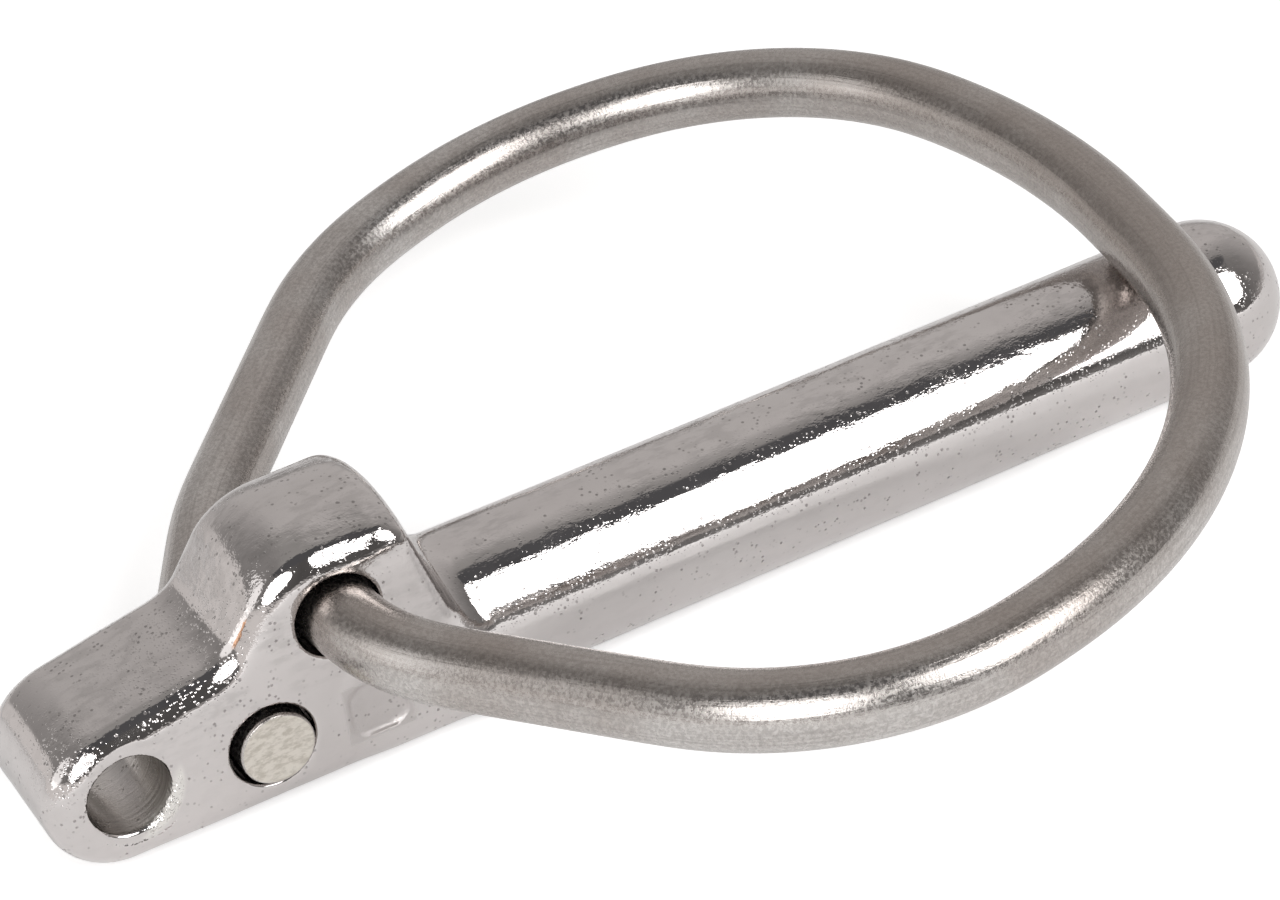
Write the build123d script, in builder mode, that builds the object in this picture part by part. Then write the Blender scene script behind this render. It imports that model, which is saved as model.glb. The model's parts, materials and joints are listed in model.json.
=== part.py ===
from build123d import *

import os
from math import cos, radians, sin, tan

# Lynch pin: one cast body (round shank and flat-sided head) and one spring-wire ring.
# Millimetres. +X runs along the shank to its tip, +Z is the side that the closed ring lies on,
# +Y is the far side of the head. The origin is on the shank's axis, at the shoulder.

# ---- driving dimensions: shank ----
shank_diameter = 10.0
shank_length = 57.0  # from the shoulder, at the axis, to the end of the round tip
shoulder_tilt = 16.7  # degrees that the shoulder leans back from square
seat_start = 3.0  # shoulder to where the full diameter begins, clear of the slanted shoulder
seat_to_ring = 1.45  # the full diameter ends this far short of the closed ring
end_draw = 0.05  # the shank draws in by this radius at its root and towards its tip
root_bury = 0.5  # how far the shank's root reaches into the head

# ---- driving dimensions: head ----
head_ledge = 0.1  # each flat side stands this far outside the shank
ear_x = -22.3  # centre of the ear's rounded end
ear_z = 0.4
ear_radius = 4.6
ear_rise = 11.0  # degrees that the ear's top climbs towards the bump
bump_height = 12.0  # axis up to the top of the bump
step_x = -14.0  # a point that the step between ear and bump passes through
step_z = 8.2
step_slope = 56.0  # degrees
step_hollow_radius = 3.0
step_crown_radius = 5.0
side_edge_radius = 2.0  # soft cast edge between the flat sides and the outline
shoulder_edge_radius = 0.9

# ---- driving dimensions: holes and the blank mark recess ----
eye_x = -22.05
eye_z = 0.65
eye_diameter = 4.9
eye_edge = 0.35  # chamfer at each mouth of the eye
wire_clearance = 0.3  # all round the wire in each ring hole
hole_a_x = -8.3
hole_a_z = 6.8
hole_b_x = -13.5
hole_b_z = 0.2
hole_edge = 0.2  # worn edge at each mouth of the two ring holes
mark_x = -7.0
mark_z = -0.1
mark_width = 3.6
mark_height = 3.4
mark_corner = 0.8
mark_depth = 0.25

# ---- driving dimensions: ring ----
wire_diameter = 4.5
wire_end_edge = 0.3  # rounding that the shears leave on each end
near_end_recess = 0.3  # near leg stops short of the far side of the head
far_end_proud = 0.3  # far leg stands out of the near side of the head
ring_rest_gap = 0.1  # closed ring to the top of the shank
ring_inset = 9.3  # end of the tip back to the ring's centreline where it turns back

# Each half of the ring is bent flat. Its bends are listed from the head to the end of the loop:
# (distance forward of the leg's hole, distance out from the head's flat side, radius).
# They are given for a loop that reaches bend_reach from the shoulder, and grow with the loop.
bend_reach = 47.7
near_bends = [
    (0.0, 4.2, 12.9),
    (17.7, 26.8, 18.4),
    (52.2, 20.1, 30.8),
]
far_bends = [
    (0.0, 1.9, 6.5),
    (5.6, 11.5, 20.0),
    (22.1, 29.2, 19.4),
    (35.5, 32.9, 26.9),
    (56.3, 27.6, 22.7),
]
# The last bend of each half lies at the loop's end: (distance to the far side of the axis, radius).
near_last_bend = (4.0, 34.0)
far_last_bend = (13.2, 48.0)
ring_join = 6.5  # where the two halves meet, to the far side of the axis

# ---- worked out from the driving dimensions ----
shank_radius = shank_diameter / 2
drawn_radius = shank_radius - end_draw
wire_radius = wire_diameter / 2
half_width = shank_radius + head_ledge
hole_diameter = wire_diameter + 2 * wire_clearance
ring_reach = shank_length - ring_inset
ring_rest_z = shank_radius + wire_radius + ring_rest_gap
seat_end = ring_reach - wire_radius - seat_to_ring
lean = tan(radians(shoulder_tilt))
tolerance = 0.01  # for picking edges


def shoulder_x(z):
    """X of the slanted shoulder at a height."""
    return -z * lean


def crossing(start, start_heading, end, end_heading):
    """Where two lines meet, each given by a point and a heading in degrees."""
    gap = Vector(*end) - Vector(*start)
    first = Vector(cos(radians(start_heading)), sin(radians(start_heading)))
    second = Vector(cos(radians(end_heading)), sin(radians(end_heading)))
    along = (gap.X * second.Y - gap.Y * second.X) / (first.X * second.Y - first.Y * second.X)
    meet = Vector(*start) + first * along
    return (meet.X, meet.Y)


# ---- shank: turned shape, cut off along the slant of the shoulder ----
with BuildPart() as shank:
    tip_centre_x = shank_length - drawn_radius
    with BuildSketch(Plane.XZ):
        with BuildLine():
            Polyline(
                (shank_length, 0),
                (-seat_start, 0),
                (-seat_start, drawn_radius),
                (seat_start, shank_radius),
                (seat_end, shank_radius),
                (tip_centre_x, drawn_radius),
            )
            RadiusArc((tip_centre_x, drawn_radius), (shank_length, 0), drawn_radius)
        make_face()
    revolve(axis=Axis.X)
    root_cut = Plane((-root_bury, 0, 0), z_dir=(cos(radians(shoulder_tilt)), 0, sin(radians(shoulder_tilt))))
    split(bisect_by=root_cut, keep=Keep.TOP)

# ---- pin body: head, shank, holes and recess, cast as one ----
ear_bottom = (ear_x, ear_z - ear_radius)
ear_end = (ear_x - ear_radius, ear_z)
ear_top = (
    ear_x - ear_radius * sin(radians(ear_rise)),
    ear_z + ear_radius * cos(radians(ear_rise)),
)
step_foot = crossing(ear_top, ear_rise, (step_x, step_z), step_slope)
step_head = crossing((step_x, step_z), step_slope, (0, bump_height), 0)
bump_corner = (shoulder_x(bump_height), bump_height)
shoulder_foot = (shoulder_x(ear_z - ear_radius), ear_z - ear_radius)


def on_shoulder(edge):
    """Whether an edge lies in the slanted shoulder."""
    return abs(edge.center().X - shoulder_x(edge.center().Z)) < tolerance


def on_side(edge):
    """Whether an edge lies in one of the head's flat sides."""
    return abs(abs(edge.center().Y) - half_width) < tolerance


with BuildPart() as pin_body:
    # Head: its side outline, through the whole width.
    with BuildSketch(Plane.XZ) as outline:
        with BuildLine():
            Polyline(ear_bottom, shoulder_foot, bump_corner, step_head, step_foot, ear_top)
            ThreePointArc(ear_top, ear_end, ear_bottom)
        make_face()
        fillet(outline.vertices().sort_by_distance(step_foot)[0], step_hollow_radius)
        fillet(outline.vertices().sort_by_distance(step_head)[0], step_crown_radius)
    extrude(amount=half_width, both=True)

    # Soft edges all round both flat sides, tighter along the shoulder.
    side_edges = pin_body.edges().filter_by(on_side)
    fillet(side_edges.filter_by(lambda edge: not on_shoulder(edge)), side_edge_radius)
    fillet(pin_body.edges().filter_by(on_side).filter_by(on_shoulder), shoulder_edge_radius)

    add(shank.part)

    for side_hole_x, side_hole_z, diameter, edge in (
        (eye_x, eye_z, eye_diameter, eye_edge),
        (hole_a_x, hole_a_z, hole_diameter, hole_edge),
        (hole_b_x, hole_b_z, hole_diameter, hole_edge),
    ):
        with Locations(Plane((side_hole_x, 0, side_hole_z), z_dir=(0, -1, 0))):
            Hole(diameter / 2)
        for side in (-1, 1):
            mouth = Plane((side_hole_x, side * half_width, side_hole_z), z_dir=(0, -side, 0))
            with BuildSketch(mouth):
                Circle(diameter / 2 + edge)
            extrude(amount=edge, taper=45, mode=Mode.SUBTRACT)

    # Shallow blank recess where a maker's mark would be cast.
    with BuildSketch(Plane((mark_x, -half_width, mark_z), x_dir=(1, 0, 0), z_dir=(0, 1, 0))):
        RectangleRounded(mark_width, mark_height, mark_corner)
    extrude(amount=mark_depth, mode=Mode.SUBTRACT)

# ---- ring: one bent length of spring wire, its ends in the two ring holes ----
# The spring load holds each leg off its hole's centre, towards the tip and down.
wire_seat = Vector(wire_clearance / 2, 0, -wire_clearance / 2)
near_leg = Vector(hole_a_x, 0, hole_a_z) + wire_seat
far_leg = Vector(hole_b_x, 0, hole_b_z) + wire_seat
loop_end = Vector(ring_reach, 0, ring_rest_z)
bend_end = Vector(bend_reach, 0, ring_rest_z)
spread = (loop_end - far_leg).length / (bend_end - far_leg).length

halves = (
    (near_leg, -1, half_width - near_end_recess, near_bends, near_last_bend),
    (far_leg, 1, -half_width - far_end_proud, far_bends, far_last_bend),
)

with BuildPart() as ring:
    # Each half is swept in the plane that holds its leg and the end of the loop.
    for leg, side, leg_end_y, bends, last_bend in halves:
        forward = loop_end - leg
        stretch = forward.length / (bend_end - leg).length
        last_y, last_radius = last_bend
        points = [(0, leg_end_y)]
        points += [(x * stretch, side * (half_width + out * spread)) for x, out, radius in bends]
        points += [(forward.length, last_y * spread), (forward.length, ring_join * spread)]
        radii = [radius * spread for x, out, radius in bends] + [last_radius * spread]
        with BuildLine(Plane(leg, x_dir=forward, z_dir=forward.cross(Vector(0, 1, 0)))) as route:
            FilletPolyline(*points, radius=radii)
        path = route.wire()
        with BuildSketch(Plane(path @ 0, z_dir=path % 0)):
            Circle(wire_radius)
        sweep(path=path)
    sheared_ends = ring.faces().filter_by(GeomType.PLANE).edges()
    fillet(sheared_ends, wire_end_edge)

os.makedirs("parts", exist_ok=True)
pin_body.part.label = "pin_body"
export_step(pin_body.part, "parts/pin_body.step")
ring.part.label = "ring"
export_step(ring.part, "parts/ring.step")
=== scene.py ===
import json
from math import cos, pi, radians, sin, tan

import bpy
import numpy as np
from mathutils import Matrix, Vector, noise


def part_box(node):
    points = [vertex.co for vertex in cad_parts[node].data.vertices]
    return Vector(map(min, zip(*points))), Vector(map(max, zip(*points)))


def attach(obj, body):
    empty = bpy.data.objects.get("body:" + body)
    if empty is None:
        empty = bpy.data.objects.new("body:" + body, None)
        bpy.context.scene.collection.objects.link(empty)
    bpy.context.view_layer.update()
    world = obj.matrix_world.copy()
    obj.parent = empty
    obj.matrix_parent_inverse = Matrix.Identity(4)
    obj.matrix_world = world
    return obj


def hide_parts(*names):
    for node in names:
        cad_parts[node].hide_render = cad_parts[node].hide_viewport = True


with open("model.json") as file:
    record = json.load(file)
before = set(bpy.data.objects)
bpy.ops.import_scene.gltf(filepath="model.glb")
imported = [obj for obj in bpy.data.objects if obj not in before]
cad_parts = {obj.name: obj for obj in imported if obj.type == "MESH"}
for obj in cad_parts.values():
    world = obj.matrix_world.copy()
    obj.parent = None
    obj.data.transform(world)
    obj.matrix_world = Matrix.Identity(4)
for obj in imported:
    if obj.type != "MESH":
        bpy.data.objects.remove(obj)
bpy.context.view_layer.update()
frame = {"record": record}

# Lynch pin: a polished cast pin body and a satin spring-wire ring. Metres, in the frame's own axes.
MM = 0.001
shank_mount = next(m for m in frame["record"]["mounts"] if m["name"] == "shank")
eye_mount = next(m for m in frame["record"]["mounts"] if m["name"] == "eye")
body_low, body_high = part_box("pin_body")

# ---- pin body, as the frame has it ----
SHANK_RADIUS = shank_mount["dims"]["r_mm"] * MM
TIP_END = body_high.x
HALF_WIDTH = body_high.y
BUMP_TOP = body_high.z
EAR_CENTRE_Z = 0.4 * MM
EAR_RADIUS = 4.6 * MM
EAR_END = body_low.x
HEAD_BOTTOM = EAR_CENTRE_Z - EAR_RADIUS
EAR_RISE = radians(11.0)
STEP_POINT = (-14.0 * MM, 8.2 * MM)
STEP_SLOPE = radians(56.0)
SHOULDER_TILT = radians(16.7)
SHOULDER_LEAN = tan(SHOULDER_TILT)
HEAD_BOTTOM_ROUND = 0.4 * MM
BUMP_CORNER_ROUND = 2.0 * MM
STEP_CROWN_ROUND = 5.0 * MM
STEP_HOLLOW_ROUND = 3.0 * MM
EYE_CENTRE = (eye_mount["pos_m"][0], eye_mount["pos_m"][2])
EYE_RADIUS = eye_mount["dims"]["r_mm"] * MM
HOLE_RADIUS = 2.55 * MM
HOLE_A = (-8.3 * MM, 6.8 * MM)
HOLE_B = (-13.5 * MM, 0.2 * MM)
MARK_CENTRE = (-7.0 * MM, -0.1 * MM)
MARK_HALF = (1.8 * MM, 1.7 * MM)
MARK_DEPTH = 0.25 * MM
MARK_CORNER = 0.8 * MM
MARK_FLOOR_ROUND = 0.1 * MM
MARK_RIM_ROUND = 0.16 * MM
EYE_MOUTH = 0.3 * MM
HOLE_MOUTH = 0.22 * MM

# ---- ring wire, as the frame has it ----
WIRE_RADIUS = 2.25 * MM
RING_REST_Z = SHANK_RADIUS + WIRE_RADIUS + 0.1 * MM
LOOP_END = Vector((47.7 * MM, 0, RING_REST_Z))
NEAR_LEG = Vector((-8.15 * MM, 0, 6.65 * MM))
FAR_LEG = Vector((-13.35 * MM, 0, 0.05 * MM))


def new_object(name, mesh):
    """A new object of a mesh, in the scene."""
    piece = bpy.data.objects.new(name, mesh)
    bpy.context.scene.collection.objects.link(piece)
    return piece


def smooth_step(value, low, high):
    """0 below low, 1 above high, and smooth between them."""
    t = np.clip((value - low) / (high - low), 0, 1)
    return t * t * (3 - 2 * t)


def round_max(a, b, radius):
    """The part inside both distances, its corner rounded to a radius."""
    outside = np.hypot(np.maximum(a + radius, 0), np.maximum(b + radius, 0))
    return np.minimum(np.maximum(a, b), -radius) + outside


def round_min(a, b, radius):
    """The part inside either distance, its inner corner hollowed to a radius."""
    return -round_max(-a, -b, radius)


# ---- the head's side outline ----
def meet(start, start_angle, end, end_angle):
    """Where two lines meet, each given by a point and an angle."""
    first = np.array((cos(start_angle), sin(start_angle)))
    second = np.array((cos(end_angle), sin(end_angle)))
    gap = np.array(end) - np.array(start)
    along = (gap[0] * second[1] - gap[1] * second[0]) / (first[0] * second[1] - first[1] * second[0])
    return np.array(start) + first * along


def rounded_outline(corners, steps=48):
    """A closed outline from (point, radius) corners, each rounded by an arc."""
    points = []
    count = len(corners)
    for i, (corner, radius) in enumerate(corners):
        corner = np.array(corner)
        back = np.array(corners[i - 1][0]) - corner
        ahead = np.array(corners[(i + 1) % count][0]) - corner
        back /= np.linalg.norm(back)
        ahead /= np.linalg.norm(ahead)
        half = np.arccos(np.clip(back @ ahead, -1, 1)) / 2
        middle = (back + ahead) / np.linalg.norm(back + ahead)
        centre = corner + middle * radius / sin(half)
        start = corner + back * radius / tan(half) - centre
        end = corner + ahead * radius / tan(half) - centre
        turn = np.arctan2(start[0] * end[1] - start[1] * end[0], start @ end)
        for k in range(steps + 1):
            a = turn * k / steps
            points.append(centre + np.array((
                start[0] * cos(a) - start[1] * sin(a),
                start[0] * sin(a) + start[1] * cos(a),
            )))
    return np.array(points)


def outline_distance(x, z, outline):
    """Signed distance to a closed outline, below zero inside it."""
    best = np.full(x.shape, np.inf)
    inside = np.zeros(x.shape, bool)
    for (ax, az), (bx, bz) in zip(outline, np.roll(outline, -1, axis=0)):
        ex, ez = bx - ax, bz - az
        length_squared = ex * ex + ez * ez
        if length_squared < 1e-18:
            continue
        t = np.clip(((x - ax) * ex + (z - az) * ez) / length_squared, 0, 1)
        best = np.minimum(best, (x - ax - t * ex) ** 2 + (z - az - t * ez) ** 2)
        if bz != az:
            inside ^= ((az > z) != (bz > z)) & (x < ax + (z - az) * ex / ez)
    best = np.sqrt(best)
    return np.where(inside, -best, best)


class OutlineTable:
    """The signed distance to an outline, worked out once on a fine grid and read between its points."""

    def __init__(self, outline, margin=3 * MM, cell=0.1 * MM):
        self.cell = cell
        self.low = outline.min(0) - margin
        size = ((outline.max(0) + margin - self.low) / cell).astype(int) + 2
        x = self.low[0] + np.arange(size[0]) * cell
        z = self.low[1] + np.arange(size[1]) * cell
        self.values = outline_distance(*np.meshgrid(x, z, indexing="ij"), outline)
        self.most = np.array(self.values.shape) - 2.001

    def __call__(self, x, z):
        u = (x - self.low[0]) / self.cell
        v = (z - self.low[1]) / self.cell
        inner_u = np.clip(u, 0, self.most[0])
        inner_v = np.clip(v, 0, self.most[1])
        i, j = inner_u.astype(int), inner_v.astype(int)
        s, t = inner_u - i, inner_v - j
        grid = self.values
        low = grid[i, j] * (1 - s) + grid[i + 1, j] * s
        high = grid[i, j + 1] * (1 - s) + grid[i + 1, j + 1] * s
        beyond = np.hypot(u - inner_u, v - inner_v) * self.cell
        return low * (1 - t) + high * t + beyond


ear_top = (EAR_END + EAR_RADIUS - EAR_RADIUS * sin(EAR_RISE), EAR_CENTRE_Z + EAR_RADIUS * cos(EAR_RISE))
head_outline = rounded_outline([
    ((-HEAD_BOTTOM * SHOULDER_LEAN, HEAD_BOTTOM), HEAD_BOTTOM_ROUND),
    ((-BUMP_TOP * SHOULDER_LEAN, BUMP_TOP), BUMP_CORNER_ROUND),
    (meet(STEP_POINT, STEP_SLOPE, (0, BUMP_TOP), 0), STEP_CROWN_ROUND),
    (meet(ear_top, EAR_RISE, STEP_POINT, STEP_SLOPE), STEP_HOLLOW_ROUND),
    (meet(ear_top, EAR_RISE, (EAR_END, 0), pi / 2), EAR_RADIUS),
    ((EAR_END, HEAD_BOTTOM), EAR_RADIUS),
])
head_table = OutlineTable(head_outline)

EAR_ROUND = 1.7 * MM
BUMP_ROUND = 1.15 * MM
SHOULDER_ROUND = 0.75 * MM
EAR_CROWN = 0.3 * MM
BUMP_CROWN = 1.45 * MM
ROOT_HOLLOW = 1.5 * MM
SINK_DEPTH = 0.14 * MM
BURR_RADIUS = 2.8 * MM
BURR_HEIGHT = 0.24 * MM
BURR_BITE = 0.2 * MM
BURR_WIDTH = 0.28 * MM
BURR_ANGLE = radians(38)  # below the eye's middle, on the shank's side
BURR_SPREAD = radians(34)


def burr_share(angle):
    """How torn the eye's near rim is at an angle round it: most at the lower side towards the shank."""
    torn = np.exp(-(((angle + BURR_ANGLE) / BURR_SPREAD) ** 2))
    ragged = 0.55 + 0.25 * np.sin(9 * angle + 0.6) + 0.2 * np.sin(23 * angle + 2.1)
    ragged = ragged + 0.14 * np.sin(41 * angle)
    return torn * np.clip(ragged, 0, 1.2)


def body_distance(p):
    """Signed distance to the pin body's surface at points (n, 3)."""
    x, y, z = p[:, 0], p[:, 1], p[:, 2]
    side = np.abs(y)
    # The cast top is crowned, the bump more than the ear: highest in the middle, lower towards both sides.
    above = smooth_step(z, EAR_CENTRE_Z, EAR_CENTRE_Z + 4 * MM)
    on_bump = smooth_step(x, -16 * MM, -11 * MM)
    crown = EAR_CROWN + (BUMP_CROWN - EAR_CROWN) * on_bump
    crown = crown * above * np.clip(side / HALF_WIDTH, 0, 1) ** 2
    head = head_table(x, z + crown)
    behind_shoulder = -(x + z * SHOULDER_LEAN) * cos(SHOULDER_TILT)
    rounding = EAR_ROUND + (BUMP_ROUND - EAR_ROUND) * on_bump * above
    from_shoulder = smooth_step(behind_shoulder, 0.2 * MM, 3.2 * MM)
    rounding = SHOULDER_ROUND + (rounding - SHOULDER_ROUND) * from_shoulder
    head = round_max(head, side - HALF_WIDTH, rounding)
    along = np.clip(x, -6 * MM, TIP_END - SHANK_RADIUS)
    shank = np.sqrt((x - along) ** 2 + y * y + z * z) - SHANK_RADIUS
    body = round_min(head, shank, ROOT_HOLLOW)
    # The eye's near mouth: a shallow off-centre countersink, and the burr that the drill tore up.
    from_eye = np.hypot(x - EYE_CENTRE[0], z - EYE_CENTRE[1])
    round_eye = np.arctan2(z - EYE_CENTRE[1], x - EYE_CENTRE[0])
    torn = burr_share(round_eye) * smooth_step(-y, HALF_WIDTH - 0.9 * MM, HALF_WIDTH - 0.3 * MM)
    sink = np.hypot(x - EYE_CENTRE[0] - 0.35 * MM, z - EYE_CENTRE[1])
    near_face = smooth_step(-y, HALF_WIDTH - 0.6 * MM, HALF_WIDTH - 0.3 * MM)
    body = body + SINK_DEPTH * near_face * (1 - smooth_step(sink, 3.1 * MM, 3.4 * MM))
    body = body - BURR_HEIGHT * torn * np.exp(-(((from_eye - BURR_RADIUS) / BURR_WIDTH) ** 2))
    # The holes, their worn mouths and the blank recess.
    for (cx, cz), radius, mouth in (
        (EYE_CENTRE, EYE_RADIUS, EYE_MOUTH),
        (HOLE_A, HOLE_RADIUS, HOLE_MOUTH),
        (HOLE_B, HOLE_RADIUS, HOLE_MOUTH),
    ):
        hole = np.hypot(x - cx, z - cz) - radius
        if cx == EYE_CENTRE[0]:
            hole = hole + BURR_BITE * torn
        body = round_max(body, -hole, mouth)
    mark_x = np.abs(x - MARK_CENTRE[0]) - MARK_HALF[0] + MARK_CORNER
    mark_z = np.abs(z - MARK_CENTRE[1]) - MARK_HALF[1] + MARK_CORNER
    mark = np.hypot(np.maximum(mark_x, 0), np.maximum(mark_z, 0)) - MARK_CORNER
    mark = np.maximum(mark, np.minimum(mark_x, 0))
    floor = -(y + HALF_WIDTH - MARK_DEPTH)
    pocket = round_max(mark, -floor, MARK_FLOOR_ROUND)
    return round_max(body, -pocket, MARK_RIM_ROUND)


def net_surface(distance, low, high, cell):
    """A closed mesh of even quads round a distance's zero: (vertices, faces)."""
    axes = [np.arange(low[k] - 2.5 * cell, high[k] + 3 * cell, cell) for k in range(3)]
    slabs = []
    for x in axes[0]:
        plane = np.stack(np.meshgrid([x], axes[1], axes[2], indexing="ij"), -1).reshape(-1, 3)
        slabs.append((distance(plane) < 0).reshape(len(axes[1]), len(axes[2])))
    inside = np.array(slabs)
    count = sum(
        inside[i:i - 1 or None, j:j - 1 or None, k:k - 1 or None].astype(int)
        for i in (0, 1) for j in (0, 1) for k in (0, 1)
    )
    mixed = (count > 0) & (count < 8)
    index = np.full(mixed.shape, -1)
    index[mixed] = np.arange(mixed.sum())
    origin = np.array([axis[0] for axis in axes])
    vertices = origin + (np.argwhere(mixed) + 0.5) * cell
    faces = []
    for axis in range(3):
        u, v = (axis + 1) % 3, (axis + 2) % 3
        first = np.take(inside, range(inside.shape[axis] - 1), axis)
        second = np.take(inside, range(1, inside.shape[axis]), axis)
        places = np.argwhere(first != second)
        ends_here = first[tuple(places.T)]
        corners = []
        for du, dv in ((-1, -1), (0, -1), (0, 0), (-1, 0)):
            at = places.copy()
            at[:, u] += du
            at[:, v] += dv
            corners.append(index[tuple(at.T)])
        quads = np.stack(corners, 1)
        quads[~ends_here] = quads[~ends_here][:, ::-1]
        faces.append(quads)
    return vertices, np.concatenate(faces)


def gradient(p, step=0.01 * MM):
    """Direction in which the body's distance grows, at points (n, 3)."""
    slopes = []
    for axis in range(3):
        shift = np.zeros(3)
        shift[axis] = step
        slopes.append((body_distance(p + shift) - body_distance(p - shift)) / (2 * step))
    return np.stack(slopes, 1)


def pull_to_surface(p, rounds):
    """Points moved onto the body's surface."""
    for _ in range(rounds):
        slope = gradient(p)
        size = np.maximum((slope ** 2).sum(1), 0.2)
        p = p - slope * np.clip(body_distance(p) / size, -0.3 * MM, 0.3 * MM)[:, None]
    return p


def relax(p, mesh, rounds):
    """Points moved to the middle of their neighbours, which evens the mesh out."""
    edges = np.zeros(len(mesh.edges) * 2, np.int64)
    mesh.edges.foreach_get("vertices", edges)
    a, b = edges.reshape(-1, 2).T
    count = np.bincount(np.concatenate((a, b)), minlength=len(p))[:, None]
    for _ in range(rounds):
        total = np.zeros_like(p)
        np.add.at(total, a, p[b])
        np.add.at(total, b, p[a])
        p = p + 0.5 * (total / np.maximum(count, 1) - p)
    return p


MESH_CELL = 0.215 * MM
points, quads = net_surface(body_distance, body_low, body_high, MESH_CELL)
body_mesh = bpy.data.meshes.new("cast_body")
body_mesh.from_pydata(points.tolist(), [], quads.tolist())
body = new_object("cast_body", body_mesh)
points = pull_to_surface(points, 3)
for _ in range(3):
    points = pull_to_surface(relax(points, body_mesh, 2), 2)
points = pull_to_surface(points, 2)


def field(p, size, seed):
    """Smooth noise about zero at points, with features of a size."""
    offset = Vector((seed * 17.3, seed * 5.1, seed * 9.7))
    return np.array([noise.noise(Vector(q) / size + offset) for q in p])


# Hand polishing leaves the casting slightly wavy, always inside its nominal surface.
normals = gradient(points)
normals /= np.maximum(np.linalg.norm(normals, axis=1), 1e-6)[:, None]
on_head = smooth_step(-points[:, 0], -1 * MM, 3 * MM)
wave = field(points, 4.5 * MM, 1) * (0.012 + 0.034 * on_head) * MM
wave += field(points, 1.6 * MM, 2) * (0.004 + 0.008 * on_head) * MM
points = points + normals * (wave - (0.015 + 0.04 * on_head) * MM)[:, None]
points = np.clip(points, np.array(body_low), np.array(body_high))
body.data.vertices.foreach_set("co", points.ravel())
body.data.update()
body.data.shade_smooth()


# ---- ring wire ----
# The bends are (forward, y, radius) in mm, as in the CAD source. Most were fitted to the photo by a program.
near_bends = [(0.0, -9.3, 12.9), (17.7, -31.9, 18.4), (52.2, -25.2, 30.8)]
far_bends = [(0.0, 7.0, 6.5), (5.6, 16.6, 20.0), (22.1, 34.3, 19.4), (35.5, 38.0, 26.9), (56.3, 32.7, 22.7)]
RING_JOIN = 6.5 * MM
STEP = 0.33 * MM


def flat_route(leg_end, bends, last_y, last_radius, length):
    """Evenly spaced points (forward, y) along one flat half of the ring, from its sheared end to the join."""
    corners = [((0, leg_end), 0)]
    corners += [((forward * MM, y * MM), radius * MM) for forward, y, radius in bends]
    corners += [((length, last_y), last_radius), ((length, RING_JOIN), 0)]
    fine = []
    for i, (corner, radius) in enumerate(corners):
        corner = np.array(corner, float)
        if radius == 0:
            fine.append(corner)
            continue
        back = np.array(corners[i - 1][0]) - corner
        ahead = np.array(corners[i + 1][0]) - corner
        back /= np.linalg.norm(back)
        ahead /= np.linalg.norm(ahead)
        half = np.arccos(np.clip(back @ ahead, -1, 1)) / 2
        centre = corner + (back + ahead) / np.linalg.norm(back + ahead) * radius / sin(half)
        start = corner + back * radius / tan(half) - centre
        end = corner + ahead * radius / tan(half) - centre
        turn = np.arctan2(start[0] * end[1] - start[1] * end[0], start @ end)
        for a in np.linspace(0, turn, 60):
            fine.append(centre + np.array((
                start[0] * cos(a) - start[1] * sin(a),
                start[0] * sin(a) + start[1] * cos(a),
            )))
    fine = np.array(fine)
    run = np.concatenate(([0], np.cumsum(np.linalg.norm(np.diff(fine, axis=0), axis=1))))
    even = np.linspace(0, run[-1], int(run[-1] / STEP) + 1)
    return np.stack([np.interp(even, run, fine[:, k]) for k in (0, 1)], 1)


def half_ring(leg, leg_end, bends, last_y, last_radius):
    """One half of the ring's centreline in space."""
    forward = LOOP_END - leg
    route = flat_route(leg_end, bends, last_y, last_radius, forward.length)
    direction = np.array(forward.normalized())
    return np.array(leg) + route[:, :1] * direction + route[:, 1:] * np.array((0, 1, 0))


near_half = half_ring(NEAR_LEG, HALF_WIDTH - 0.3 * MM, near_bends, 4.0 * MM, 34.0 * MM)
far_half = half_ring(FAR_LEG, -HALF_WIDTH - 0.3 * MM, far_bends, 13.2 * MM, 48.0 * MM)
centreline = np.concatenate((near_half, far_half[::-1][1:]))
# A light smoothing rounds the change from arc to run, as bending does.
for _ in range(30):
    centreline[1:-1] += 0.25 * (centreline[:-2] + centreline[2:] - 2 * centreline[1:-1])
centreline[0], centreline[-1] = near_half[0], far_half[0]

AROUND = 72
END_LIP = 0.28 * MM
END_SINK = 0.09  # mm


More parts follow.
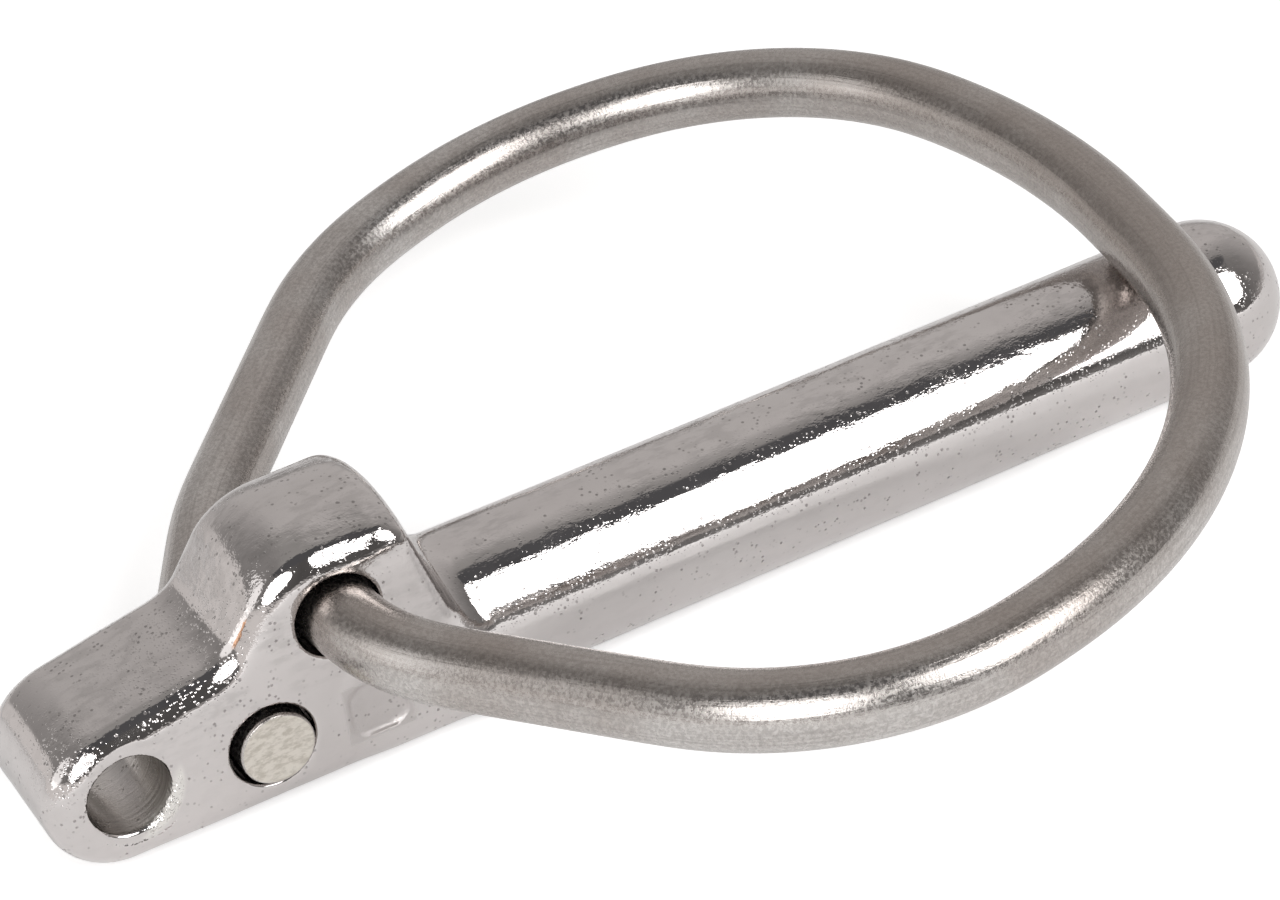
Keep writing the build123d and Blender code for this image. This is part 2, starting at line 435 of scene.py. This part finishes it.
def sweep_wire(line):
    """A closed wire mesh along a centreline, with its length and angle kept in a UV map."""
    tangents = np.gradient(line, axis=0)
    tangents /= np.linalg.norm(tangents, axis=1)[:, None]
    up = np.array((0, 0, 1.0))
    frames = []
    for t in tangents:
        up = up - t * (up @ t)
        up /= np.linalg.norm(up)
        frames.append((up.copy(), np.cross(t, up)))
    run = np.concatenate(([0], np.cumsum(np.linalg.norm(np.diff(line, axis=0), axis=1))))
    rings = []
    # Each end: a sheared face, sunk a little and rough, inside a small rounded lip.
    caps = [(0.35, 0.25), (0.62, 0.2), (0.8, 0.1), (0.9, 0.02), (0.955, 0.03), (0.99, 0.12)]
    start = [(share, depth * MM * 0.35) for share, depth in caps]
    for share, depth in start:
        rings.append((line[0] + tangents[0] * depth, frames[0], share, run[0]))
    for i in range(len(line)):
        if run[i] < END_LIP or run[-1] - run[i] < END_LIP:
            continue
        rings.append((line[i], frames[i], 1.0, run[i]))
    for share, depth in reversed(start):
        rings.append((line[-1] - tangents[-1] * depth, frames[-1], share, run[-1]))
    angles = np.arange(AROUND) * 2 * pi / AROUND
    vertices = []
    for centre, (u, v), share, _ in rings:
        ring = centre + WIRE_RADIUS * share * (np.cos(angles)[:, None] * u + np.sin(angles)[:, None] * v)
        vertices.append(ring)
    vertices = np.concatenate(vertices)
    first_cap = len(vertices)
    middle = np.array((
        line[0] + tangents[0] * END_SINK * MM,
        line[-1] - tangents[-1] * END_SINK * MM,
    ))
    vertices = np.concatenate((vertices, middle))
    faces = []
    for i in range(len(rings) - 1):
        for k in range(AROUND):
            n = (k + 1) % AROUND
            faces.append((i * AROUND + k, i * AROUND + n, (i + 1) * AROUND + n, (i + 1) * AROUND + k))
    last = (len(rings) - 1) * AROUND
    for k in range(AROUND):
        n = (k + 1) % AROUND
        faces.append((first_cap, n, k))
        faces.append((first_cap + 1, last + k, last + n))
    mesh = bpy.data.meshes.new("spring_ring")
    mesh.from_pydata(vertices.tolist(), [], faces)
    layer = mesh.uv_layers.new(name="wire")
    uv = np.zeros((len(mesh.loops), 2))
    at = 0
    for i in range(len(rings) - 1):
        near, far = rings[i][3], rings[i + 1][3]
        for k in range(AROUND):
            low, high = k / AROUND, (k + 1) / AROUND
            uv[at:at + 4] = ((near, low), (near, high), (far, high), (far, low))
            at += 4
    layer.uv.foreach_set("vector", uv.ravel().astype(np.float32))
    mesh.update()
    mesh.shade_smooth()
    # Faces inside the rounded lips are the sheared ones.
    lips = (len(start) - 2) * AROUND
    side_faces = (len(rings) - 1) * AROUND
    sheared = set(range(lips)) | set(range(side_faces - lips, len(faces)))
    return mesh, sheared


ring_mesh, sheared_faces = sweep_wire(centreline)
ring = new_object("spring_ring", ring_mesh)

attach(body, "pin_body")
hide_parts("pin_body")
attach(ring, "ring")
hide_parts("ring")


# ---- materials ----
class Nodes:
    """Short calls that add nodes to one material or world."""

    def __init__(self, tree):
        self.tree = tree

    def add(self, kind, inputs=None, **settings):
        node = self.tree.nodes.new(kind)
        for key, value in settings.items():
            setattr(node, key, value)
        for key, value in (inputs or {}).items():
            if isinstance(value, bpy.types.NodeSocket):
                self.tree.links.new(value, node.inputs[key])
            else:
                node.inputs[key].default_value = value
        return node

    def math(self, operation, a, b=0.0, clamp=False):
        return self.add("ShaderNodeMath", {0: a, 1: b}, operation=operation, use_clamp=clamp).outputs[0]

    def noise(self, where, scale, detail=2.0, roughness=0.5):
        inputs = {"Vector": where, "Scale": scale, "Detail": detail, "Roughness": roughness}
        node = self.add("ShaderNodeTexNoise", inputs)
        return node.outputs["Fac"]

    def spots(self, where, scale, jitter=1.0):
        node = self.add("ShaderNodeTexVoronoi", {"Vector": where, "Scale": scale, "Randomness": jitter})
        return node.outputs["Distance"]

    def fade(self, value, low, high, start=0.0, end=1.0):
        node = self.add(
            "ShaderNodeMapRange",
            {"Value": value, "From Min": low, "From Max": high, "To Min": start, "To Max": end},
            interpolation_type="SMOOTHSTEP",
        )
        return node.outputs["Result"]

    def mix(self, share, a, b):
        node = self.add("ShaderNodeMix", {"Factor": share}, data_type="RGBA")
        for key, value in ((6, a), (7, b)):
            if isinstance(value, bpy.types.NodeSocket):
                self.tree.links.new(value, node.inputs[key])
            else:
                node.inputs[key].default_value = value
        return node.outputs[2]

    def bump(self, height, strength, distance, normal=None):
        inputs = {"Height": height, "Strength": strength, "Distance": distance}
        if normal is not None:
            inputs["Normal"] = normal
        return self.add("ShaderNodeBump", inputs).outputs["Normal"]


def metal_material(name):
    """A new material with an empty metal shader. Returns (material, nodes, shader)."""
    material = bpy.data.materials.new(name)
    material.use_nodes = True
    material.node_tree.nodes.clear()
    nodes = Nodes(material.node_tree)
    shader = nodes.add("ShaderNodeBsdfPrincipled", {"Metallic": 1.0})
    output = nodes.add("ShaderNodeOutputMaterial")
    material.node_tree.links.new(shader.outputs["BSDF"], output.inputs["Surface"])
    return material, nodes, shader


def polished_cast():
    """Polished cast steel: orange peel, fine pits with painted shade in them, tiny proud grains, an
    unpolished recess and a painted highlight on the eye's burr.
    """
    material, nodes, shader = metal_material("polished_cast")
    link = material.node_tree.links.new
    where = nodes.add("ShaderNodeTexCoord").outputs["Object"]
    place = nodes.add("ShaderNodeSeparateXYZ", {0: where})

    def away(x, y, z):
        """Distance from a point in the body."""
        span = nodes.add("ShaderNodeVectorMath", {0: where, 1: (x, y, z)}, operation="DISTANCE")
        return span.outputs["Value"]

    # Worn patches: the top of the shank and the foot of the step are rougher than the rest.
    top = nodes.fade(place.outputs["Z"], 1.5 * MM, 4.5 * MM)
    patches = nodes.fade(nodes.noise(where, 260.0, 3.0), 0.34, 0.54)
    etched = nodes.math("MULTIPLY", nodes.math("ADD", nodes.math("MULTIPLY", top, 0.75), 0.25), patches)
    step_foot = nodes.fade(away(-17.0 * MM, -1.5 * MM, 6.0 * MM), 2.0 * MM, 6.5 * MM, 1.0, 0.0)
    ear_corner = nodes.fade(away(-25.5 * MM, -3.5 * MM, 3.5 * MM), 1.5 * MM, 4.5 * MM, 1.0, 0.0)
    gritty = nodes.math("MAXIMUM", step_foot, ear_corner)

    pit_field = nodes.spots(where, 2600.0)
    pit_place = nodes.fade(nodes.noise(where, 900.0, 2.0), 0.48, 0.62)
    pits = nodes.math("MULTIPLY", nodes.fade(pit_field, 0.16, 0.32, 1.0, 0.0), pit_place)
    shifted = nodes.add("ShaderNodeVectorMath", {0: where, 1: (0.31, 0.17, 0.05)}).outputs[0]
    grain_field = nodes.spots(shifted, 4600.0)
    grain_place = nodes.fade(nodes.noise(where, 420.0, 3.0), 0.36, 0.6, 0.15, 0.8)
    grain_place = nodes.math("MAXIMUM", grain_place, gritty)
    grains = nodes.math("MULTIPLY", nodes.fade(grain_field, 0.1, 0.36, 1.0, 0.0), grain_place)

    tone = nodes.mix(nodes.noise(where, 90.0, 2.0), (0.62, 0.585, 0.575, 1), (0.69, 0.66, 0.65, 1))
    streaked = nodes.add("ShaderNodeMapping", {"Vector": where, "Scale": (0.45, 1.0, 1.0)}).outputs[0]
    mottle = nodes.fade(nodes.noise(streaked, 1400.0, 4.0, 0.6), 0.42, 0.62)
    dull = nodes.math("MULTIPLY", nodes.math("MULTIPLY", mottle, etched), 0.42)
    tone = nodes.mix(dull, tone, (0.44, 0.42, 0.41, 1))
    # Painted shade: the pits are painted dark.
    tone = nodes.mix(nodes.math("MULTIPLY", pits, 0.6), tone, (0.17, 0.155, 0.15, 1))
    # A thread of rust runs up the step, where it rounds into the near side.
    rust_reach = nodes.fade(away(-14.2 * MM, -4.3 * MM, 7.9 * MM), 0.8 * MM, 1.2 * MM, 1.0, 0.0)
    thread = nodes.math("ABSOLUTE", nodes.math("ADD", place.outputs["Y"], 4.2 * MM))
    ragged = nodes.fade(nodes.noise(where, 1500.0, 3.0), 0.35, 0.7, 0.0, 0.14 * MM)
    thread = nodes.math("LESS_THAN", thread, ragged)
    rust = nodes.math("MULTIPLY", rust_reach, thread)
    tone = nodes.mix(nodes.math("MULTIPLY", rust, 0.8), tone, (0.50, 0.25, 0.12, 1))

    # The recess was never polished.
    in_x = nodes.math("ABSOLUTE", nodes.math("SUBTRACT", place.outputs["X"], MARK_CENTRE[0]))
    in_z = nodes.math("ABSOLUTE", nodes.math("SUBTRACT", place.outputs["Z"], MARK_CENTRE[1]))
    within_x = nodes.fade(in_x, MARK_HALF[0] + 0.1 * MM, MARK_HALF[0] + 0.4 * MM, 1.0, 0.0)
    within_z = nodes.fade(in_z, MARK_HALF[1] + 0.1 * MM, MARK_HALF[1] + 0.4 * MM, 1.0, 0.0)
    raw = nodes.math("MULTIPLY", within_x, within_z)
    near_face = nodes.fade(place.outputs["Y"], -HALF_WIDTH + 0.3 * MM, -HALF_WIDTH + 0.6 * MM, 1.0, 0.0)
    raw = nodes.math("MULTIPLY", raw, near_face)
    # The eye's wall keeps the marks of its drill.
    eye_x = nodes.math("SUBTRACT", place.outputs["X"], EYE_CENTRE[0])
    eye_z = nodes.math("SUBTRACT", place.outputs["Z"], EYE_CENTRE[1])
    from_eye = nodes.math("ADD", nodes.math("POWER", eye_x, 2.0), nodes.math("POWER", eye_z, 2.0))
    from_eye = nodes.math("SQRT", from_eye)
    drilled = nodes.fade(from_eye, EYE_RADIUS + 0.02 * MM, EYE_RADIUS + 0.12 * MM, 1.0, 0.0)
    along_eye = nodes.add("ShaderNodeCombineXYZ", {"Y": place.outputs["Y"]}).outputs[0]
    tool_marks = nodes.noise(along_eye, 4200.0, 3.0, 0.7)
    drill_tone = nodes.mix(nodes.fade(tool_marks, 0.35, 0.65), (0.36, 0.345, 0.32, 1), (0.66, 0.64, 0.60, 1))
    tone = nodes.mix(nodes.math("MULTIPLY", drilled, 0.85), tone, drill_tone)
    # The burr at the eye's lower rim, towards the shank, is broken, and its colour is painted lighter: a
    # painted highlight.
    towards_burr = nodes.math("SUBTRACT", nodes.math("MULTIPLY", eye_x, cos(BURR_ANGLE)),
                              nodes.math("MULTIPLY", eye_z, sin(BURR_ANGLE)))
    torn = nodes.math("MULTIPLY", nodes.fade(towards_burr, 1.7 * MM, 2.4 * MM),
                      nodes.fade(from_eye, 3.0 * MM, 3.4 * MM, 1.0, 0.0))
    near_rim = nodes.fade(place.outputs["Y"], -HALF_WIDTH + 0.5 * MM, -HALF_WIDTH + 1.0 * MM, 1.0, 0.0)
    torn = nodes.math("MULTIPLY", torn, near_rim)
    # Painted highlight on the burr.
    tone = nodes.mix(torn, tone, (0.78, 0.76, 0.73, 1))
    tone = nodes.mix(nodes.math("MULTIPLY", raw, 0.5), tone, (0.52, 0.49, 0.48, 1))
    link(tone, shader.inputs["Base Color"])

    rough = nodes.fade(nodes.noise(where, 300.0, 3.0), 0.35, 0.7, 0.04, 0.11)
    rough = nodes.math("ADD", rough, nodes.math("MULTIPLY", pits, 0.3))
    rough = nodes.math("ADD", rough, nodes.math("MULTIPLY", drilled, 0.26))
    rough = nodes.math("ADD", rough, nodes.math("MULTIPLY", raw, 0.45))
    link(rough, shader.inputs["Roughness"])
    normal = nodes.bump(nodes.noise(where, 1500.0, 2.0), 0.4, 0.006 * MM)
    normal = nodes.bump(nodes.noise(streaked, 1400.0, 4.0, 0.6), etched, 0.05 * MM, normal)
    normal = nodes.bump(tool_marks, drilled, 0.07 * MM, normal)
    normal = nodes.bump(nodes.noise(where, 1500.0, 3.0, 0.6), raw, 0.08 * MM, normal)
    normal = nodes.bump(nodes.noise(where, 3200.0, 2.0), torn, 0.2 * MM, normal)
    specks = nodes.math("ADD", nodes.math("MULTIPLY", gritty, 0.6), 0.4)
    normal = nodes.bump(nodes.math("SUBTRACT", grains, pits), specks, 0.018 * MM, normal)
    link(normal, shader.inputs["Normal"])
    return material


def sheared_face():
    """The wire's sheared ends: bright broken grain with scribbled lines."""
    material, nodes, shader = metal_material("sheared_face")
    link = material.node_tree.links.new
    where = nodes.add("ShaderNodeTexCoord").outputs["Object"]
    inputs = {"Vector": where, "Rotation": (0.0, 0.7, 0.0), "Scale": (1.0, 1.0, 2.2)}
    stretched = nodes.add("ShaderNodeMapping", inputs)
    scribble = nodes.noise(stretched.outputs[0], 1300.0, 6.0, 0.7)
    tone = nodes.mix(nodes.fade(scribble, 0.38, 0.58), (0.55, 0.51, 0.45, 1), (0.74, 0.70, 0.64, 1))
    link(tone, shader.inputs["Base Color"])
    link(nodes.fade(scribble, 0.3, 0.7, 0.34, 0.52), shader.inputs["Roughness"])
    link(nodes.bump(scribble, 0.8, 0.04 * MM), shader.inputs["Normal"])
    return material


def satin_wire():
    """Satin spring wire: sandy grain, faint draw lines along it, brownish stain and painted shade darkening
    its top.
    """
    material, nodes, shader = metal_material("satin_wire")
    link = material.node_tree.links.new
    where = nodes.add("ShaderNodeTexCoord").outputs["Object"]
    wire = nodes.add("ShaderNodeUVMap", uv_map="wire").outputs["UV"]
    drawn = nodes.add("ShaderNodeMapping", {"Vector": wire, "Scale": (90.0, 70.0, 1.0)}).outputs[0]
    lines = nodes.fade(nodes.noise(drawn, 1.0, 3.0), 0.45, 0.7)
    grain = nodes.noise(where, 4200.0, 3.0, 0.7)
    stain = nodes.fade(nodes.noise(where, 120.0, 4.0), 0.35, 0.68)
    tone = nodes.mix(stain, (0.50, 0.46, 0.435, 1), (0.64, 0.615, 0.595, 1))
    tone = nodes.mix(nodes.fade(grain, 0.35, 0.65), nodes.mix(0.4, tone, (0.2, 0.18, 0.17, 1)), tone)
    tone = nodes.mix(nodes.math("MULTIPLY", lines, 0.3), tone, (0.24, 0.22, 0.21, 1))
    # Painted shade: the wire is painted darker and browner towards its top.
    height = nodes.add("ShaderNodeSeparateXYZ", {0: where}).outputs["Z"]
    painted_top_shade = nodes.fade(height, RING_REST_Z - 0.4 * MM, RING_REST_Z + 2.0 * MM)
    tone = nodes.mix(nodes.math("MULTIPLY", painted_top_shade, 0.34), tone, (0.26, 0.215, 0.185, 1))
    link(tone, shader.inputs["Base Color"])
    rough = nodes.fade(grain, 0.3, 0.7, 0.19, 0.33)
    link(rough, shader.inputs["Roughness"])
    normal = nodes.bump(grain, 0.7, 0.024 * MM)
    normal = nodes.bump(lines, 0.5, 0.01 * MM, normal)
    link(normal, shader.inputs["Normal"])
    return material


CAMERA_GLOW = 0.45
GLOSS_GLOW = 0.05


def floor_material():
    """Pale floor, white to the camera where nothing shades it."""
    material = bpy.data.materials.new("pale_floor")
    material.use_nodes = True
    material.node_tree.nodes.clear()
    nodes = Nodes(material.node_tree)
    path = nodes.add("ShaderNodeLightPath")
    seen = nodes.math("MAXIMUM", path.outputs["Is Camera Ray"], path.outputs["Is Glossy Ray"])
    seen = nodes.math("MAXIMUM", seen, path.outputs["Is Transmission Ray"])
    plain = nodes.add("ShaderNodeBsdfDiffuse", {"Color": (0.88, 0.88, 0.88, 1)})
    extra = nodes.math("MULTIPLY", path.outputs["Is Camera Ray"], CAMERA_GLOW - GLOSS_GLOW)
    shine = nodes.math("ADD", extra, GLOSS_GLOW)
    glow = nodes.add("ShaderNodeEmission", {"Color": (1, 1, 1, 1), "Strength": shine})
    both = nodes.add("ShaderNodeAddShader")
    material.node_tree.links.new(plain.outputs[0], both.inputs[0])
    material.node_tree.links.new(glow.outputs[0], both.inputs[1])
    mix = nodes.add("ShaderNodeMixShader", {0: seen})
    material.node_tree.links.new(plain.outputs[0], mix.inputs[1])
    material.node_tree.links.new(both.outputs[0], mix.inputs[2])
    output = nodes.add("ShaderNodeOutputMaterial")
    material.node_tree.links.new(mix.outputs[0], output.inputs["Surface"])
    return material


def coat(piece, material):
    piece.data.materials.clear()
    piece.data.materials.append(material)


coat(body, polished_cast())
coat(ring, satin_wire())
ring.data.materials.append(sheared_face())
for face in ring.data.polygons:
    face.material_index = int(face.index in sheared_faces)

# ---- stage, light and camera ----
FLOOR_HALF = 0.45
floor_mesh = bpy.data.meshes.new("floor")
floor_signs = ((-1, -1), (1, -1), (1, 1), (-1, 1))
floor_corners = [(sx * FLOOR_HALF, sy * FLOOR_HALF, body_low.z) for sx, sy in floor_signs]
floor_mesh.from_pydata(floor_corners, [], [(0, 1, 2, 3)])
floor = new_object("floor", floor_mesh)
coat(floor, floor_material())

world = bpy.data.worlds.new("studio")
bpy.context.scene.world = world
world.use_nodes = True
world.node_tree.nodes.clear()
room = Nodes(world.node_tree)
path = room.add("ShaderNodeLightPath")
way = room.add("ShaderNodeTexCoord").outputs["Generated"]
way_xyz = room.add("ShaderNodeSeparateXYZ", {0: way})


def studio_ramp(stops_wanted):
    """Brightness round the studio, from (degrees, level) stops: 0 is the far side, 90 the tip's side."""
    turn = room.math("ARCTAN2", way_xyz.outputs["X"], way_xyz.outputs["Y"])
    ramp = room.add("ShaderNodeValToRGB", {"Fac": room.math("ADD", room.math("DIVIDE", turn, 2 * pi), 0.5)})
    stops = ramp.color_ramp.elements
    stops[0].position = 0.0
    stops[1].position = 1.0
    for degrees, level in stops_wanted[1:-1]:
        stops.new(degrees / 360 + 0.5)
    for stop, (degrees, level) in zip(stops, stops_wanted):
        stop.position = degrees / 360 + 0.5
        stop.color = (level, level * 0.965, level * 0.945, 1)
    return ramp.outputs["Color"]


# Levels are rounded, after readings of how bright the photo's reflections are.
wall = studio_ramp((
    (-180, 0.1), (-110, 0.26), (-40, 0.3), (0, 0.56), (50, 0.62), (95, 0.3), (150, 0.12), (180, 0.1),
))
table_edge = studio_ramp((
    (-180, 0.6), (-165, 0.85), (-40, 0.8), (15, 0.35), (80, 0.7), (135, 0.15), (165, 0.2), (180, 0.6),
))
up_angle = room.math("MULTIPLY", room.math("ARCSINE", way_xyz.outputs["Z"]), 180 / pi)
# A low white card stands on the head's side, so the bright edge of the table reaches higher there.
card_side = room.fade(way_xyz.outputs["X"], -0.75, -0.3, 1.0, 0.0)
edge_top = room.math("ADD", room.math("MULTIPLY", card_side, 12.0), 4.0)
over_edge = room.fade(room.math("SUBTRACT", up_angle, edge_top), 0.0, 3.5)
around = room.mix(over_edge, table_edge, wall)
around = room.mix(room.fade(up_angle, 58.0, 78.0), around, (0.37, 0.36, 0.35, 1))
# The room above the soft boxes, on the camera's side, is dark.
near_side = room.math("MULTIPLY", way_xyz.outputs["Y"], -1.0)
flag = room.math("MULTIPLY", room.fade(up_angle, 54.0, 58.0), room.fade(near_side, 0.02, 0.1))
around = room.mix(flag, around, (0.1, 0.1, 0.105, 1))
sky = room.add("ShaderNodeBackground", {"Color": around, "Strength": 1.0})
white = room.add("ShaderNodeBackground", {"Color": (1, 1, 1, 1), "Strength": 1.0})
pick = room.add("ShaderNodeMixShader", {0: path.outputs["Is Camera Ray"]})
world.node_tree.links.new(sky.outputs[0], pick.inputs[1])
world.node_tree.links.new(white.outputs[0], pick.inputs[2])
out = room.add("ShaderNodeOutputWorld")
world.node_tree.links.new(pick.outputs[0], out.inputs["Surface"])


def soft_box(name, place, target, size_x, size_y, power):
    """A round-ended soft light that faces a target."""
    lamp = bpy.data.lights.new(name, "AREA")
    lamp.shape = "ELLIPSE"
    lamp.size = size_x
    lamp.size_y = size_y
    lamp.energy = power
    box = bpy.data.objects.new(name, lamp)
    bpy.context.scene.collection.objects.link(box)
    box.location = place
    box.rotation_euler = (Vector(target) - Vector(place)).to_track_quat("-Z", "Y").to_euler()


MIDDLE = Vector((0.014, 0.0, 0.003))
BOX_DISTANCE = 0.5


def studio_box(name, turn, up, wide, high, brightness):
    """A soft light at a turn from the far side and an angle up, its size in degrees seen from the part."""
    turn, up = radians(turn), radians(up)
    place = MIDDLE + BOX_DISTANCE * Vector((sin(turn) * cos(up), cos(turn) * cos(up), sin(up)))
    size_x = 2 * BOX_DISTANCE * tan(radians(wide / 2))
    size_y = 2 * BOX_DISTANCE * tan(radians(high / 2))
    soft_box(name, place, MIDDLE, size_x, size_y, brightness * pi * size_x * size_y * pi / 4)


studio_box("key", 149, 36, 34, 46, 5.0)
studio_box("fill", -146, 34, 34, 36, 5.0)
studio_box("side_card", -84, 28, 34, 38, 1.0)

# The camera. Its place, angles and lens were fitted to the photo by a scratch program.
camera_data = bpy.data.cameras.new("camera")
camera = bpy.data.objects.new("camera", camera_data)
bpy.context.scene.collection.objects.link(camera)
AZIMUTH, ELEVATION, ROLL = radians(-24.15), radians(34.56), radians(8.07)
CAMERA_PLACE = Vector((-71.19, -188.53, 148.01)) * MM
look = Vector((-sin(AZIMUTH) * cos(ELEVATION), cos(AZIMUTH) * cos(ELEVATION), -sin(ELEVATION)))
level_right = Vector((cos(AZIMUTH), sin(AZIMUTH), 0))
level_up = level_right.cross(look)
right = level_right * cos(ROLL) - level_up * sin(ROLL)
up = right.cross(look)
camera.matrix_world = Matrix((
    (right.x, up.x, -look.x, CAMERA_PLACE.x),
    (right.y, up.y, -look.y, CAMERA_PLACE.y),
    (right.z, up.z, -look.z, CAMERA_PLACE.z),
    (0, 0, 0, 1),
))
camera_data.sensor_width = 36.0
camera_data.lens = 122.2
camera_data.clip_start = 0.01
camera_data.clip_end = 10.0
bpy.context.scene.camera = camera
bpy.context.scene.view_settings.view_transform = "Standard"
